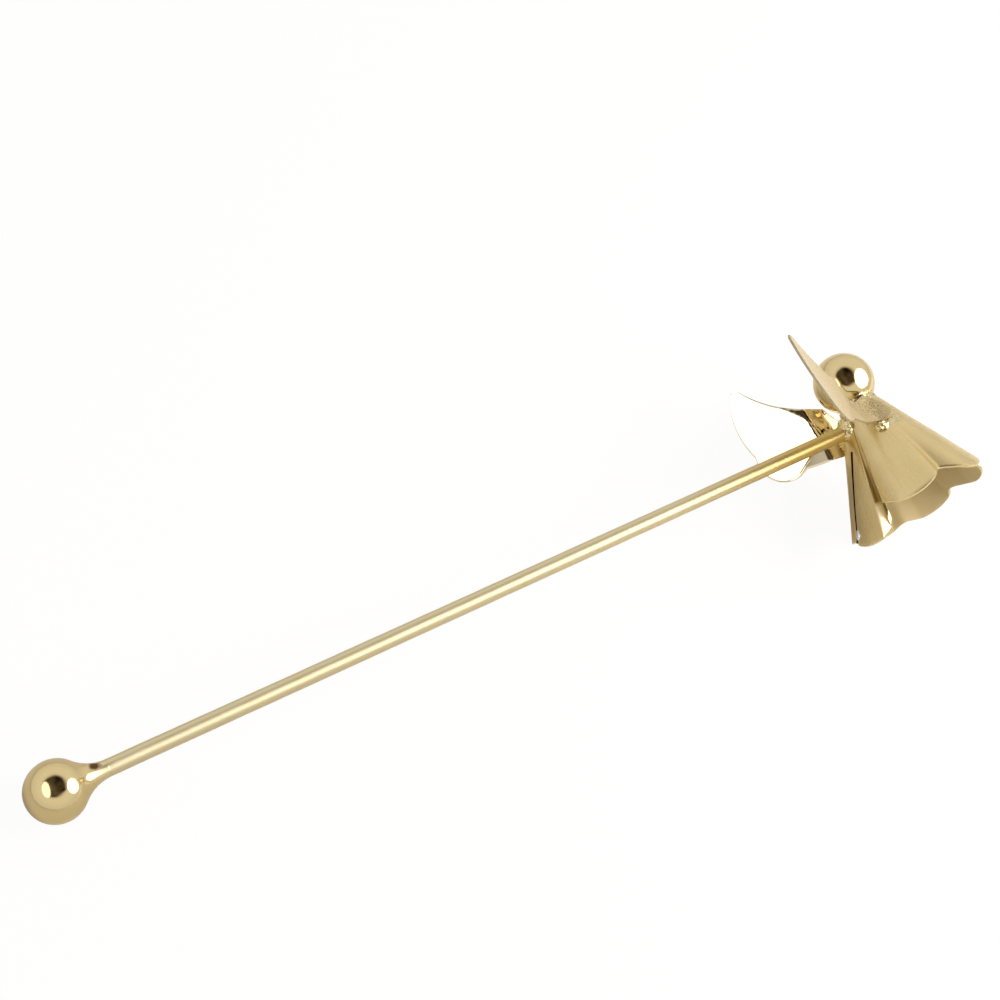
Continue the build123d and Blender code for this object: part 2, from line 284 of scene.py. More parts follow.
def drawn_brass():
    """Drawn and buffed brass rod: a soft, uneven gloss, painted yellower towards the bell and paler towards the
    end ball, a painted sheen for its highlight, and a small dark brown spot where it goes into the end ball."""
    material, tree, coords = new_material("drawn_brass")
    painted_sheen_start = 20
    painted_light_reach = 60
    run_out_start = HANDLE_REACH - 14
    dark_spot_place = HANDLE @ Vector((-1.75, -1.0, HANDLE_REACH - 8.6))
    dark_spot_radius = 1.3
    haze = cloud(tree, coords["Object"], 6)
    from_root = {0: coords["Object"], 1: ANGEL @ HANDLE @ Vector()}
    away = add(tree, "ShaderNodeVectorMath", from_root, operation="DISTANCE").outputs["Value"]
    # Painted sheen: the rod is painted paler from near the bell towards the end ball, standing in for its
    # highlight there.
    painted_light_share = spread(tree, away, 0, 1, painted_sheen_start * MM, painted_light_reach * MM)
    low = blend(tree, painted_light_share, srgb("#D2B468"), srgb("#EEDDB0"))
    high = blend(tree, painted_light_share, srgb("#E6CC86"), srgb("#F6EAC8"))
    run_out = spread(tree, away, 0, 1, run_out_start * MM, (HANDLE_REACH - RUN_OUT) * MM)
    drop = blend(tree, run_out, blend(tree, haze, low, high), srgb("#E8D29E"))
    # A small dark brown spot on the rod next to the end ball.
    dark_spot = near(tree, coords["Object"], dark_spot_place, dark_spot_radius)
    soft = spread(tree, haze, 0.48, 0.54)
    gloss = add(tree, "ShaderNodeMix", {0: run_out, 2: soft, 3: 0.25}).outputs[0]
    surface(tree, blend(tree, dark_spot, drop, srgb("#6A4A2C")), gloss, cloud(tree, coords["Object"], 2.5), 0.01)
    # Buffing rings spread the shine along the rod.
    axis = add(tree, "ShaderNodeCombineXYZ", {"X": handle_out.x, "Y": handle_out.y, "Z": handle_out.z})
    tree.links.new(axis.outputs[0], tree.nodes["Principled BSDF"].inputs["Tangent"])
    tree.nodes["Principled BSDF"].inputs["Anisotropic"].default_value = 0.85
    return material


def satin_brass():
    """Rolled sheet brass of the skirt, brushed down its flutes: satin gold, pitted by flux at the wing, with a
    painted shade in the groove beside the train's fold and a painted highlight on the same strip below the hem.
    """
    material, tree, coords = new_material("satin_brass")
    # The real lines are finer, and are drawn 0.3 mm wide to show.
    brushed = lines(tree, coords["UV"], 0.3, 10)
    tone = blend(tree, cloud(tree, coords["Object"], 7), srgb("#E0C88E"), srgb("#ECD7A4"))
    chart = add(tree, "ShaderNodeSeparateXYZ", {0: coords["UV"]}).outputs
    fold = TRAIN_FOLD_AZIMUTH * ROUND_STEP
    fold_blur = 0.2
    panel = FIRST_GROOVE * ROUND_STEP - 1.6
    panel_blur = 0.4
    hem = SKIRT_HEIGHT - 4.0
    hem_blur = 1.5
    after_fold = spread(tree, chart["X"], 0, 1, fold, fold + fold_blur)
    before_panel = spread(tree, chart["X"], 1, 0, panel, panel + panel_blur)
    above_hem = spread(tree, chart["Y"], 1, 0, hem, hem + hem_blur)
    in_fold = add(tree, "ShaderNodeMath", {0: after_fold, 1: before_panel}, operation="MULTIPLY").outputs[0]
    # Painted shade: the groove between the train's fold and the next panel is painted dark olive above the hem.
    painted_shade = add(tree, "ShaderNodeMath", {0: in_fold, 1: above_hem}, operation="MULTIPLY").outputs[0]
    below_hem = add(tree, "ShaderNodeMath", {0: 1.0, 1: above_hem}, operation="SUBTRACT").outputs[0]
    # Painted highlight: the same strip below the hem is painted near white, as if lit by the lamp.
    painted_highlight = add(tree, "ShaderNodeMath", {0: in_fold, 1: below_hem}, operation="MULTIPLY").outputs[0]
    tone = blend(tree, painted_highlight, blend(tree, painted_shade, tone, srgb("#8A6C38")), srgb("#FFF4DA"))
    gloss = add(tree, "ShaderNodeMix", {0: painted_highlight, 2: spread(tree, brushed, 0.24, 0.36), 3: 0.52}).outputs[0]
    flux = near(tree, coords["Object"], on_skirt(SKIRT_FLUX_AZIMUTH, SKIRT_FLUX_HEIGHT), FLUX_RADIUS)
    pits = cloud(tree, coords["Object"], 0.5)
    crust = blend(tree, spread(tree, pits, 0, 1, 0.4, 0.6), srgb("#C2AE7E"), srgb("#EBDDB4"))
    grain = blend(tree, flux, brushed, pits)
    surface(tree, blend(tree, flux, tone, crust), gloss, grain, 0.02)
    return material


def inner_brass():
    """Inside of the skirt's sheet, brushed round and left dull: a greyer gold."""
    material, tree, coords = new_material("inner_sheet_brass")
    across = add(tree, "ShaderNodeMapping", {"Vector": coords["UV"], "Rotation": (0, 0, math.pi / 2)})
    brushed = lines(tree, across.outputs[0], 0.3, 10)
    tone = blend(tree, brushed, srgb("#D4C6A0"), srgb("#E8DBB8"))
    surface(tree, tone, spread(tree, brushed, 0.92, 1.0), brushed, 0.02)
    return material


def cut_edge_brass():
    """Sheared edge of the skirt's sheet, painted black inside the open seam."""
    material, tree, coords = new_material("cut_edge_brass")
    top, _, across = seam_line()
    normal = ANGEL.to_3x3().normalized() @ across
    from_top = {0: coords["Object"], 1: ANGEL @ top}
    away = add(tree, "ShaderNodeVectorMath", from_top, operation="SUBTRACT").outputs[0]
    side = add(tree, "ShaderNodeVectorMath", {0: away, 1: normal}, operation="DOT_PRODUCT").outputs["Value"]
    reach = add(tree, "ShaderNodeMath", {0: side}, operation="ABSOLUTE").outputs[0]
    # The cut edge is painted black where it lies inside the open seam.
    seam_black = spread(tree, reach, 1.0, 0.0, 0.6 * SEAM_GAP * MM, 0.7 * SEAM_GAP * MM)
    tone = blend(tree, seam_black, srgb("#E0CB98"), srgb("#1A140E"))
    surface(tree, tone, spread(tree, seam_black, 0.25, 0.7, 0, 1))
    return material


def mirror_brass():
    """Buffed side of the wing sheet: a pale, clear mirror that shows the room."""
    material, tree, coords = new_material("mirror_sheet_brass")
    haze = cloud(tree, coords["Object"], 5)
    tone = blend(tree, haze, srgb("#EFDDB4"), srgb("#F5E9CC"))
    surface(tree, tone, spread(tree, haze, 0.03, 0.06))
    return material


def matte_brass():
    """Unbuffed side of the wing sheet: pale and matt, fine-grained by pickling, pitted by flux on the tab, and
    painted darker towards the tab, a painted shade where the wing meets the skirt.
    """
    material, tree, coords = new_material("matte_sheet_brass")
    # The real grain is finer than a tenth of a millimetre, and is drawn 0.4 mm wide to show.
    grain = cloud(tree, coords["Object"], 0.4)
    painted_shade_reach = 6
    painted_light_reach = 28
    from_tab = {0: coords["Object"], 1: ANGEL @ on_skirt(TAB_AZIMUTH, TAB_HEIGHT)}
    far = add(tree, "ShaderNodeVectorMath", from_tab, operation="DISTANCE").outputs["Value"]
    # Painted shade: the sheet is painted darker near the tab, where the wing meets the skirt under the head.
    painted_light_share = spread(tree, far, 0, 1, painted_shade_reach * MM, painted_light_reach * MM)
    low = blend(tree, painted_light_share, srgb("#B4A280"), srgb("#C6B99C"))
    high = blend(tree, painted_light_share, srgb("#D0BE98"), srgb("#E0D4BA"))
    tone = blend(tree, spread(tree, grain, 0, 1), low, high)
    flux = near(tree, coords["Object"], on_skirt(TAB_AZIMUTH + TAB_FLUX_TURN, TAB_HEIGHT), FLUX_RADIUS)
    crust = blend(tree, spread(tree, grain, 0, 1, 0.4, 0.6), srgb("#9C8A62"), srgb("#D2C39C"))
    surface(tree, blend(tree, flux, tone, crust), spread(tree, grain, 0.78, 0.88), grain, 0.02)
    return material


def rim_brass():
    """Edge of the wing sheet, painted near black: a thin dark line round the bright blade, a painted reflection
    of the dark shade overhead.
    """
    material, tree, coords = new_material("rim_brass")
    # Painted reflection: the rim is painted near black, for the dark shade it mirrors.
    painted_shade = cloud(tree, coords["Object"], 4)
    surface(tree, blend(tree, painted_shade, srgb("#120C08"), srgb("#2E2218")), spread(tree, painted_shade, 0.5, 0.7))
    return material


def brazing_brass():
    """Brazing metal as it froze: lumpy and bright, with a few dark pits of burnt flux."""
    material, tree, coords = new_material("brazing_brass")
    pits = cloud(tree, coords["Object"], 0.7, 4.0)
    clean = spread(tree, pits, 0, 1, 0.34, 0.46)
    tone = blend(tree, clean, srgb("#7A6242"), srgb("#E8D6A4"))
    surface(tree, tone, spread(tree, clean, 0.45, 0.18, 0, 1), pits, 0.12)
    return material


def tin_solder():
    """Soft solder of the tack at the seam's foot: a pale grey shine."""
    material, tree, coords = new_material("tin_solder")
    haze = cloud(tree, coords["Object"], 0.8)
    surface(tree, blend(tree, haze, srgb("#DCD8DC"), srgb("#F4F2F4")), spread(tree, haze, 0.15, 0.3))
    return material


# Shapes


def waver(bm, size, depth):
    """Hand-finished unevenness: moves the surface in by up to depth, in waves of that size."""
    bm.normal_update()
    moves = [vert.normal * depth * (noise.noise(vert.co / size) - 1) / 2 for vert in bm.verts]
    for vert, move in zip(bm.verts, moves):
        vert.co += move


def lathe(profile, steps):
    """Spins a chain of (radius, height) points about Z into a closed skin."""
    bm = bmesh.new()
    verts = [bm.verts.new((radius, 0, height)) for radius, height in profile]
    edges = [bm.edges.new(pair) for pair in zip(verts, verts[1:])]
    bmesh.ops.spin(
        bm, geom=verts + edges, cent=(0, 0, 0), axis=(0, 0, 1), angle=2 * math.pi, steps=steps, use_merge=True
    )
    bmesh.ops.remove_doubles(bm, verts=bm.verts, dist=MERGE)
    bmesh.ops.recalc_face_normals(bm, faces=bm.faces)
    return bm


def arc(start, middle, end, count):
    """Points on the circle through three points of a plane, from start to end."""
    a, b, c = (Vector(p) for p in (start, middle, end))
    d = 2 * (a.x * (b.y - c.y) + b.x * (c.y - a.y) + c.x * (a.y - b.y))
    squares = [p.length_squared for p in (a, b, c)]
    centre = Vector((
        (squares[0] * (b.y - c.y) + squares[1] * (c.y - a.y) + squares[2] * (a.y - b.y)) / d,
        (squares[0] * (c.x - b.x) + squares[1] * (a.x - c.x) + squares[2] * (b.x - a.x)) / d,
    ))
    first, second, last = (math.atan2(p.y - centre.y, p.x - centre.x) for p in (a, b, c))
    turn = (last - first) % (2 * math.pi)
    if (second - first) % (2 * math.pi) > turn:
        turn -= 2 * math.pi
    radius = (a - centre).length
    angles = [first + turn * step / count for step in range(count + 1)]
    return [centre + radius * Vector((math.cos(angle), math.sin(angle))) for angle in angles]


def finished(bm, name, node, materials, place):
    """Puts a shape on the table as a smooth object, which stands for a CAD node where one is named."""
    bmesh.ops.transform(bm, matrix=place, verts=bm.verts)
    for face in bm.faces:
        face.smooth = True
    mesh = bpy.data.meshes.new(name)
    bm.to_mesh(mesh)
    bm.free()
    for material in materials:
        mesh.materials.append(material)
    piece = bpy.data.objects.new(name, mesh)
    bpy.context.scene.collection.objects.link(piece)
    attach(piece, "root")
    if node:
        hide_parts(node)
    return piece


def sheet_wall(piece, thickness, offset, rim_width):
    """Gives a sheet its thickness, with its second material on the other side and its third on the cut edge."""
    sharpest = 60
    wall = piece.modifiers.new("sheet", "SOLIDIFY")
    wall.thickness = thickness * MM
    wall.offset = offset
    wall.material_offset = 1
    wall.material_offset_rim = 2
    rim = piece.modifiers.new("rim", "BEVEL")
    rim.width = rim_width * MM
    rim.segments = 2
    rim.limit_method = "ANGLE"
    rim.angle_limit = math.radians(sharpest)
    return rim


def hem_columns():
    """The hem round the skirt: azimuth, height and dip into the cone, from the seam and back to it."""
    steep = STEEP_FLANK_SHARE * HALF_FLUTE
    long = LONG_FLANK_SHARE * HALF_FLUTE
    column_width = 1.2

    def groove(index):
        return FIRST_GROOVE + 2 * HALF_FLUTE * index + GROOVE_TURNS[index]

    def notch(index):
        return SCALLOP_RISE * NOTCH_RISE_SHARES[index]

    def valley(index):
        return (groove(index), notch(index), FLUTE_DEPTH * GROOVE_DEPTH_SHARES[index])

    def ridges(index):
        on_right = groove(index) < 180
        before = steep if on_right else long
        after = long if on_right else steep
        return groove(index) - before, groove(index) + after

    def scallop(azimuth, crest, index):
        return (azimuth, notch(index) * ((azimuth - crest) / (groove(index) - crest)) ** 2, 0.0)

    seam = (SEAM_FOOT_AZIMUTH, -SEAM_DROP, 0.0)
    train_fold = (TRAIN_FOLD_AZIMUTH, -TRAIN_DROP, 0.0)
    train_middle = ((seam[0] + train_fold[0]) / 2, -TRAIN_DROP * TRAIN_MID_SHARE, 0.0)
    train_corner = (groove(0) - TRAIN_STEP, -TRAIN_DROP * TRAIN_CORNER_SHARE, TRAIN_TUCK)
    spans = [(seam, train_middle, train_fold), (train_fold, train_corner), (train_corner, valley(0))]
    for lobe in range(1, FLUTES):
        crest = (groove(lobe - 1) + groove(lobe)) / 2
        first = scallop(ridges(lobe - 1)[1], crest, lobe - 1)
        last = scallop(ridges(lobe)[0], crest, lobe)
        spans += [(valley(lobe - 1), first), (first, (crest, 0.0, 0.0), last), (last, valley(lobe))]
    lap_corner = (ridges(FLUTES - 1)[1], LAP_CORNER_RISE, -LAP_FLARE)
    spans += [(valley(FLUTES - 1), lap_corner), (lap_corner, (360 + seam[0], -LAP_DROP, -LAP_FLARE / 2))]

    columns = []
    for span in spans:
        count = max(2, round((span[-1][0] - span[0][0]) / column_width))
        for step in range(count):
            azimuth = span[0][0] + (span[-1][0] - span[0][0]) * step / count
            height = 0.0
            dip = 0.0
            for station in span:
                weight = 1.0
                for other in span:
                    if other is not station:
                        weight *= (azimuth - other[0]) / (station[0] - other[0])
                height += weight * station[1]
                dip += weight * station[2]
            columns.append((azimuth, height, dip))
    return columns


def softened(columns):
    """Rounds the folds of the flutes, which were bent by hand; the train keeps its sharp ones."""
    passes = 6
    for _ in range(passes):
        before = columns[-1:] + columns[:-1]
        after = columns[1:] + columns[:1]
        columns = [
            (b[0], (a[1] + 2 * b[1] + c[1]) / 4, (a[2] + 2 * b[2] + c[2]) / 4) if b[0] > SOFT_FROM else b
            for a, b, c in zip(before, columns, after)
        ]
    return columns


def skirt(materials):
    """The bell: a sheet ruled from the round neck to the fluted hem, with the open seam cut in it."""
    rings = 36
    columns = softened(hem_columns())
    bm = bmesh.new()
    column_of = bm.verts.layers.int.new("column")
    ring_of = bm.verts.layers.int.new("ring")
    neck = bmesh.ops.create_circle(bm, segments=len(columns), radius=NECK_RADIUS)["verts"]
    for index, vert in enumerate(neck):
        vert[column_of] = index
    edges = list(bm.edges)
    for ring in range(1, rings + 1):
        made = bmesh.ops.extrude_edge_only(bm, edges=edges)["geom"]
        verts = {item for item in made if isinstance(item, bmesh.types.BMVert)}
        for vert in verts:
            vert[ring_of] = ring
        edges = [
            item for item in made
            if isinstance(item, bmesh.types.BMEdge) and all(vert in verts for vert in item.verts)
        ]
    for vert in bm.verts:
        azimuth, height, dip = columns[vert[column_of]]
        share = vert[ring_of] / rings
        fade = GROOVE_FADE if azimuth > SOFT_FROM else TRAIN_FADE
        crest_line = on_skirt(azimuth, SKIRT_HEIGHT).lerp(on_skirt(azimuth, height), share)
        vert.co = crest_line - outward(azimuth) * dip * share**fade
    bmesh.ops.recalc_face_normals(bm, faces=bm.faces)
    any_face = next(iter(bm.faces))
    if any_face.normal.dot(any_face.calc_center_median() * Vector((1, 1, 0))) < 0:
        bmesh.ops.reverse_faces(bm, faces=bm.faces)

    # Round and down the skirt in millimetres, for the brushed lines.
    chart = bm.loops.layers.uv.new("brushing")
    for face in bm.faces:
        wraps = max(v[column_of] for v in face.verts) - min(v[column_of] for v in face.verts) > 1
        for loop in face.loops:
            azimuth = columns[loop.vert[column_of]][0]
            if wraps and loop.vert[column_of] == 0:
                azimuth += 360
            loop[chart].uv = (azimuth * ROUND_STEP, SKIRT_HEIGHT - loop.vert.co.z)

    cut_seam(bm)
    waver(bm, size=9.0, depth=0.12)
    piece = finished(bm, "skirt", "skirt_bell", materials, ANGEL)
    sheet_wall(piece, SHEET, offset=-1, rim_width=0.15)
    return piece


def seam_line():
    """Top and foot of the open seam, and the direction across it."""
    top = on_skirt(SEAM_TOP_AZIMUTH, SEAM_TOP_HEIGHT)
    foot = on_skirt(SEAM_FOOT_AZIMUTH, -SEAM_DROP)
    across = (foot - top).cross(outward((SEAM_TOP_AZIMUTH + SEAM_FOOT_AZIMUTH) / 2)).normalized()
    return top, foot, across


def cut_seam(bm):
    """Cuts the open seam, a thin slot from under the handle down through the hem."""
    top, foot, across = seam_line()
    down = (foot - top).normalized()
    margin = 3.0

    def by_seam():
        faces = []
        for face in bm.faces:
            centre = face.calc_center_median()
            if centre.x < -NECK_RADIUS and abs((centre - top).dot(across)) < margin:
                faces.append(face)
        edges = {edge for face in faces for edge in face.edges}
        verts = {vert for face in faces for vert in face.verts}
        return faces + list(edges) + list(verts)

    for side in (-0.5, 0.5):
        edge = top + across * side * SEAM_GAP
        bmesh.ops.bisect_plane(bm, geom=by_seam(), dist=MERGE, plane_co=edge, plane_no=across)
    bmesh.ops.bisect_plane(bm, geom=by_seam(), dist=MERGE, plane_co=top, plane_no=down)
    slot = []
    for face in bm.faces:
        centre = face.calc_center_median() - top
        if centre.x + top.x < 0 and abs(centre.dot(across)) < SEAM_GAP / 2 and centre.dot(down) > 0:
            slot.append(face)
    bmesh.ops.delete(bm, geom=slot, context="FACES")


def seam_tack(material):
    """Flat tack of soft solder that holds the seam's edges together at its foot."""
    azimuth = -8.0
    height = 0.2
    radius = 1.5
    flatness = 0.4
    bm = bmesh.new()
    bmesh.ops.create_icosphere(bm, subdivisions=4, radius=radius)
    waver(bm, size=0.8, depth=0.5)
    bmesh.ops.scale(bm, vec=(1, 1, flatness), verts=bm.verts)
    normal = outward(azimuth) + Vector((0, 0, FLARE))
    place = Matrix.Translation(on_skirt(azimuth, height)) @ normal.to_track_quat("Z", "Y").to_matrix().to_4x4()
    return finished(bm, "seam_tack", None, [material], ANGEL @ place)


def head(material):
    """Ball on the neck."""
    bm = bmesh.new()
    bmesh.ops.create_uvsphere(bm, u_segments=128, v_segments=64, radius=HEAD_RADIUS)
    bmesh.ops.translate(bm, verts=bm.verts, vec=(0, 0, HEAD_HEIGHT))
    waver(bm, size=4.0, depth=0.05)
    return finished(bm, "head", "head_ball", [material], ANGEL)


def neck_ring(material):
    """Uneven ring of brazing metal between the ball and the neck."""
    drop = 1.2
    rise = 1.2
    low = SKIRT_HEIGHT - drop
    high = SKIRT_HEIGHT + rise
    inset = 0.4
    profile = [
        (cone_radius(low) - inset, low),
        (cone_radius(low), low),
        (cone_radius(SKIRT_HEIGHT - drop / 2) + FILLET_HOLLOW, SKIRT_HEIGHT - drop / 2),
        (NECK_RADIUS + 2 * FILLET_HOLLOW, SKIRT_HEIGHT),
        (head_width(SKIRT_HEIGHT + rise / 2) + FILLET_HOLLOW, SKIRT_HEIGHT + rise / 2),
        (head_width(high), high),
        (head_width(high) - inset, high),
        (NECK_RADIUS - inset, SKIRT_HEIGHT),
        (cone_radius(low) - inset, low),
    ]
    bm = lathe(profile, steps=96)
    bmesh.ops.subdivide_edges(bm, edges=bm.edges, cuts=1, use_grid_fill=True)
    waver(bm, size=1.3, depth=0.35)
    return finished(bm, "neck_ring", "neck_solder", [material], ANGEL)


def rod(material):
    """Handle rod, from the skirt's back into the end ball's collar."""
    start = cone_radius(HANDLE_HEIGHT) + FILLET_HOLLOW
    end = COLLAR_START + COLLAR_LENGTH / 2
    rings = 220
    profile = [(HANDLE_RADIUS, start + (end - start) * ring / rings) for ring in range(rings + 1)]
    bm = lathe([(0, start)] + profile + [(0, end)], steps=48)
    waver(bm, size=5.0, depth=0.07)
    return finished(bm, "rod", "handle_rod", [material], ANGEL @ HANDLE)


def rod_root(material):
    """Brazing metal round the rod's root."""
    back = cone_radius(HANDLE_HEIGHT)
    base = 3.6
    bite = 0.6
    length = 2.4
    low_swell = 0.7
    high_swell = 0.25
    profile = [
        (0, back - bite),
        (base, back - bite),
        (base, back),
        (HANDLE_RADIUS + low_swell, back + length * 0.35),
        (HANDLE_RADIUS + high_swell, back + length * 0.7),
        (HANDLE_RADIUS, back + length),
        (0, back + length),
    ]
    bm = lathe(profile, steps=64)
    bmesh.ops.subdivide_edges(bm, edges=bm.edges, cuts=3, use_grid_fill=True)
    waver(bm, size=1.1, depth=0.5)
    return finished(bm, "rod_root", "rod_solder", [material], ANGEL @ HANDLE)


def end_ball(materials):
    """End ball that runs out into the rod, one turned drop."""
    neck = COLLAR_HOLLOW + HANDLE_RADIUS
    neck_start = HANDLE_REACH - math.sqrt((END_BALL_RADIUS + COLLAR_HOLLOW) ** 2 - neck**2)
    lean = math.atan2(HANDLE_REACH - neck_start, neck)
    steps = 24
    angles = [lean * step / steps for step in range(steps + 1)]
    collar = [
        (neck - COLLAR_HOLLOW * math.cos(angle), neck_start + COLLAR_HOLLOW * math.sin(angle))
        for angle in angles
    ]
    ball = arc(collar[-1], (END_BALL_RADIUS, HANDLE_REACH), (0, HANDLE_REACH + END_BALL_RADIUS), 64)
    bm = lathe([(0, neck_start)] + collar + [tuple(point) for point in ball[1:]], steps=128)
    for face in bm.faces:
        if face.calc_center_median().z < HANDLE_REACH - RUN_OUT:
            face.material_index = 1
    waver(bm, size=4.0, depth=0.06)
    return finished(bm, "end_ball", "handle_ball", materials, ANGEL @ HANDLE)


def point_at(chain, reach):
    """Point of a chain at a distance from the bell's axis."""
    for a, b in zip(chain, chain[1:]):
        if a.x <= reach <= b.x:
            return a.lerp(b, (reach - a.x) / (b.x - a.x))
    return chain[-1]


def even(chain, count):
    """The same chain in steps of one length."""
    runs = [0.0]
    for a, b in zip(chain, chain[1:]):
        runs.append(runs[-1] + (b - a).length)
    stops = []
    for step in range(count + 1):
        run = runs[-1] * step / count
        leg = min(sum(r <= run for r in runs), len(chain) - 1) - 1
        stops.append(chain[leg].lerp(chain[leg + 1], (run - runs[leg]) / (runs[leg + 1] - runs[leg])))
    return stops


def wing_chains(lean, reach, waist, shoulder):
    """Both edges of the flat wing, from the end of the tab to the tip, in steps that match.

    The flat sheet is measured from the bell's axis: out, and up from the plane of the hem's crests."""
    root = HEAD_RADIUS + WING_HEAD_GAP
    pivot = Vector((cone_radius(TAB_HEIGHT), TAB_HEIGHT))
    at = {}
    for name, (out, up) in BLADE_OUTLINE_SHARES.items():
        level = (root + out * (reach - root), WING_FOOT_HEIGHT + up * (WING_TIP_HEIGHT - WING_FOOT_HEIGHT))
        turn = Matrix.Rotation(math.radians(-lean * min(max(up / LEAN_FROM_SHARE, 0), 1)), 2)
        at[name] = pivot + turn @ (Vector(level) - pivot)
    tab_steps = 24
    neck_steps = 16
    third_steps = 12
    feather_steps = 22
    tip_steps = 8

    def line(a, b, count):
        return [a.lerp(b, step / count) for step in range(count + 1)]

    def tab_edge(side):
        angles = [math.pi / 2 * step / tab_steps for step in range(tab_steps + 1)]
        return [
            Vector((TAB_END + TAB_DEPTH * (1 - math.cos(a)), TAB_HEIGHT + side * TAB_RADIUS * math.sin(a)))
            for a in angles
        ]

    third = arc(tab_edge(-1)[-1], at["third_feather"], at["second_step"], 4 * third_steps)
    upper = tab_edge(1) + [Vector(waist), Vector(shoulder)]
    lower = tab_edge(-1) + third[1:]
    stations = tab_edge(1)
    for a, b in zip(upper[-3:], upper[-2:]):
        stations += line(a, b, neck_steps)[1:]
    leading = [point_at(upper, stop.x) for stop in stations]
    trailing = [point_at(lower, stop.x) for stop in stations]
    rest = trailing[-1:] + [point for point in third if point.x > shoulder[0]]
    leading += arc(shoulder, at["upper_edge"], at["tip_inner"], third_steps + 2 * feather_steps)[1:]
    leading += line(at["tip_inner"], at["tip"], tip_steps)[1:]
    trailing += even(rest, third_steps)[1:]
    trailing += arc(at["second_step"], at["second_feather"], at["first_step"], feather_steps)[1:]
    trailing += arc(at["first_step"], at["first_feather"], at["tip_outer"], feather_steps)[1:]
    tip = arc(at["tip_outer"], at["tip"].lerp(at["tip_outer"], 0.5), at["tip_inner"], 2 * tip_steps)
    return leading, trailing + tip[1 : tip_steps + 1]


def bent_wing(reach, height, steep):
    """Place of a point of the flat sheet once its root is folded over and its tab laid on the skirt.

    The fold starts at a slope of its own, and a small facet lies beside it at both of the wing's edges."""
    past_fold = max(FOLD_REACH - reach, 0.0)
    shallow = (FOLD_SLOPE * TAB_RUN - steep * FOLD_RUN) / (TAB_RUN - FOLD_RUN)
    side = steep * min(past_fold, FOLD_RUN) + shallow * max(past_fold - FOLD_RUN, 0.0)
    for start, level, turn, bent in FACET_CREASES:
        along = Vector((math.cos(math.radians(turn)), math.sin(math.radians(turn))))
        past = bent * along.cross(Vector((max(reach, FOLD_REACH) - start, height - level)))
        side += FACET_SLOPE * max(past, 0.0)
    half_span = (WING_REACH - FOLD_REACH) / 2
    from_middle = (reach - FOLD_REACH - half_span) / half_span
    side += WING_BOW * max(1 - from_middle**2, 0.0)
    place = outward(WING_AZIMUTH) * reach + outward(WING_AZIMUTH + 90) * side
    rest = cone_radius(height) + WING_STAND_OFF
    gap = place.length - rest
    rounding = 0.6
    raised = (gap + math.sqrt(gap**2 + rounding**2)) / 2
    return place.normalized() * (rest + raised) + Vector((0, 0, height))


def wing(name, node, lean, reach, waist, shoulder, steep, mirrored, materials):
    """A wing of one sheet: blade, folded root and the tab that lies on the skirt."""
    leading, trailing = wing_chains(lean, reach, waist, shoulder)
    rungs = 24
    bm = bmesh.new()
    edges = []
    for chain in (leading, trailing):
        verts = [bm.verts.new((p.x, p.y, 0)) for p in chain]
        edges += [bm.edges.new(pair) for pair in zip(verts, verts[1:])]
    made = bmesh.ops.bridge_loops(bm, edges=edges)
    cross = [edge for edge in made["edges"] if edge not in edges]
    bmesh.ops.subdivide_edges(bm, edges=cross, cuts=rungs, use_grid_fill=True)
    bmesh.ops.remove_doubles(bm, verts=bm.verts, dist=MERGE)
    for vert in bm.verts:
        vert.co = bent_wing(vert.co.x, vert.co.y, steep)
    bmesh.ops.recalc_face_normals(bm, faces=bm.faces)
    facing = sum((face.normal * face.calc_area() for face in bm.faces), Vector())
    if facing.dot(outward(WING_AZIMUTH + 90)) < 0:
        bmesh.ops.reverse_faces(bm, faces=bm.faces)
    if mirrored:
        bmesh.ops.scale(bm, vec=(1, -1, 1), verts=bm.verts)
        bmesh.ops.reverse_faces(bm, faces=bm.faces)
    piece = finished(bm, name, node, materials, ANGEL)
    rim = sheet_wall(piece, WING_SHEET, offset=0, rim_width=0.22)
    rim.material = 2
    return piece


def bead(name, node, side, material):
    """Frozen bead of brazing metal at the foot of a wing's tab; side is 1 on the right and -1 on the left."""
    bm = bmesh.new()
    bmesh.ops.create_icosphere(bm, subdivisions=5, radius=BEAD_RADIUS)
    waver(bm, size=1.2, depth=0.9)
    squash = (1.25, 0.9, 0.8)
    bmesh.ops.scale(bm, vec=squash, verts=bm.verts)
    middle = on_skirt(BEAD_AZIMUTH, BEAD_HEIGHT)
    middle.y *= side
    bmesh.ops.translate(bm, verts=bm.verts, vec=middle)
    for vert in bm.verts:
        around = vert.co * Vector((1, 1, 0))
        deepest = cone_radius(vert.co.z) - SHEET / 2
        if around.length < deepest:
            vert.co += around.normalized() * (deepest - around.length)
    return finished(bm, name, node, [material], ANGEL)


# Stage

# Strength that the camera shows as white.
WHITE = 1.04


def photo_camera():
    """The photograph's view, from above the handle's side of the bell."""
    place = Vector((-0.17148, -0.13638, 0.33363))
    aim = Vector((0.01329, 0.0285, 0.0))
    roll = 20.63
    data = bpy.data.cameras.new("photo_view")
    data.sensor_width = 36.0
    data.lens = 61.2
    camera = bpy.data.objects.new("photo_view", data)
    camera.location = place
    camera.rotation_mode = "QUATERNION"
    level = (aim - place).to_track_quat("-Z", "Y")
    camera.rotation_quaternion = level @ Quaternion((0, 0, 1), math.radians(roll))
    bpy.context.scene.collection.objects.link(camera)
    bpy.context.scene.camera = camera


